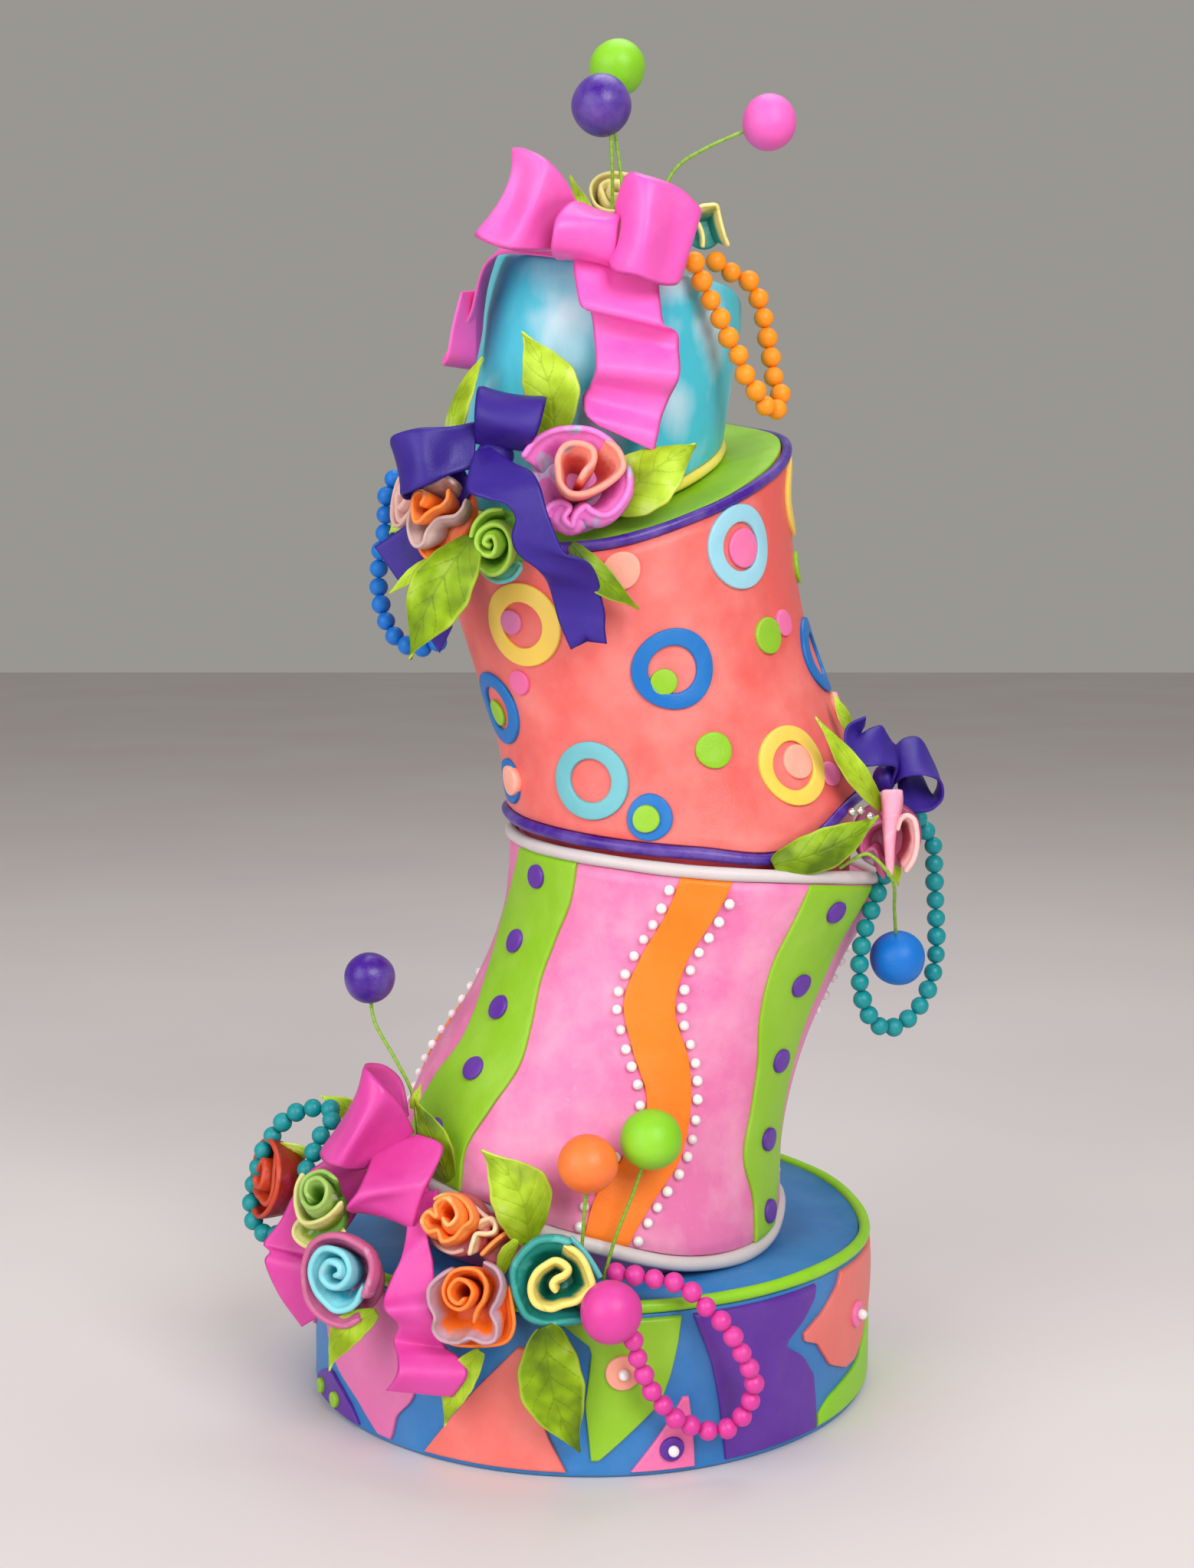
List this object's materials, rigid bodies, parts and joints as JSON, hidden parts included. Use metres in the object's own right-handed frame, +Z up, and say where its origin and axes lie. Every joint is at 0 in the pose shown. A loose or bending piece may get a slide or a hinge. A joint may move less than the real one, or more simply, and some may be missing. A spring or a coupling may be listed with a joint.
{
  "type": "topsy-turvy wedding cake",
  "caption": "Tall leaning celebration cake of stacked fondant tiers, with striped, dotted and pennant cut-outs, rolled ropes, paste roses, bows, leaves, bead strings and balls on wires.",
  "frame": {"origin": "centre of the bottom tier's underside, on the table", "axes": "+Z up, -Y to the front, +X to the right as seen from the front"},
  "size_m": [0.3994, 0.3659, 0.7645],
  "materials": {
    "bead_orange": "satin sugar paste",
    "blue": "satin sugar paste",
    "coral": "satin sugar paste",
    "green": "satin sugar paste",
    "leaf": "satin sugar paste",
    "lime": "satin sugar paste",
    "lime_rope": "satin sugar paste",
    "magenta": "satin sugar paste",
    "orange": "satin sugar paste",
    "pink": "satin sugar paste",
    "purple": "satin sugar paste",
    "ribbon_magenta": "satin sugar paste",
    "ribbon_pink": "satin sugar paste",
    "ribbon_purple": "satin sugar paste",
    "rose_blue": "satin sugar paste",
    "rose_copper": "satin sugar paste",
    "rose_coral": "satin sugar paste",
    "rose_cream": "satin sugar paste",
    "rose_green": "satin sugar paste",
    "rose_mauve": "satin sugar paste",
    "rose_orange": "satin sugar paste",
    "rose_red": "satin sugar paste",
    "rose_sea": "satin sugar paste",
    "sky": "satin sugar paste",
    "teal": "satin sugar paste",
    "turquoise": "satin sugar paste",
    "white": "satin sugar paste",
    "yellow": "satin sugar paste"
  },
  "bodies": {
    "root": {"ball_magenta": "magenta", "beads_blue": "sky", "beads_magenta": "magenta", "beads_orange": "bead_orange", "beads_turquoise_left": "turquoise", "beads_turquoise_right": "turquoise", "bow_magenta_low": "ribbon_magenta", "bow_pink_top": "ribbon_pink", "bow_purple_left": "ribbon_purple", "bow_purple_right": "ribbon_purple", "leaf_big_left": "leaf", "leaf_left_tip": "leaf", "leaf_low_behind": "leaf", "leaf_low_front": "leaf", "leaf_low_left": "leaf", "leaf_low_point": "leaf", "leaf_low_upright": "leaf", "leaf_right_lower": "leaf", "leaf_right_of_rose": "leaf", "leaf_right_small": "leaf", "leaf_right_upper": "leaf", "leaf_teal_tier": "leaf", "leaf_under_rose": "leaf", "pick_blue_right": "sky", "pick_green_low": "green", "pick_green_top": "green", "pick_orange": "orange", "pick_pink_top": "ribbon_pink", "pick_purple_left": "purple", "pick_purple_top": "purple", "rope_lime_tier_1": "lime_rope", "rope_purple_tier_3_base": "purple", "rope_purple_tier_3_top": "purple", "rope_white_tier_2_base": "white", "rope_white_tier_2_top": "white", "rope_yellow_tier_4": "yellow", "rose_blue_low": "rose_blue", "rose_copper_left": "rose_copper", "rose_copper_low": "rose_copper", "rose_coral": "rose_coral", "rose_cream_top": "rose_cream", "rose_green_left": "rose_green", "rose_green_low": "rose_green", "rose_mauve_left": "rose_mauve", "rose_orange_low": "rose_orange", "rose_peach_low": "rose_orange", "rose_pink_right": "rose_coral", "rose_red_low": "rose_red", "rose_sea_low": "rose_sea", "rose_sea_top": "rose_sea", "tail_magenta_left": "ribbon_magenta", "tail_magenta_right": "ribbon_magenta", "tail_pink_front": "ribbon_pink", "tail_purple_hidden": "ribbon_purple", "tail_purple_long": "ribbon_purple", "tier_1": "blue", "tier_2": "pink", "tier_3": "coral", "tier_3_top_sheet": "lime", "tier_4": "teal"}
  },
  "joints": []
}
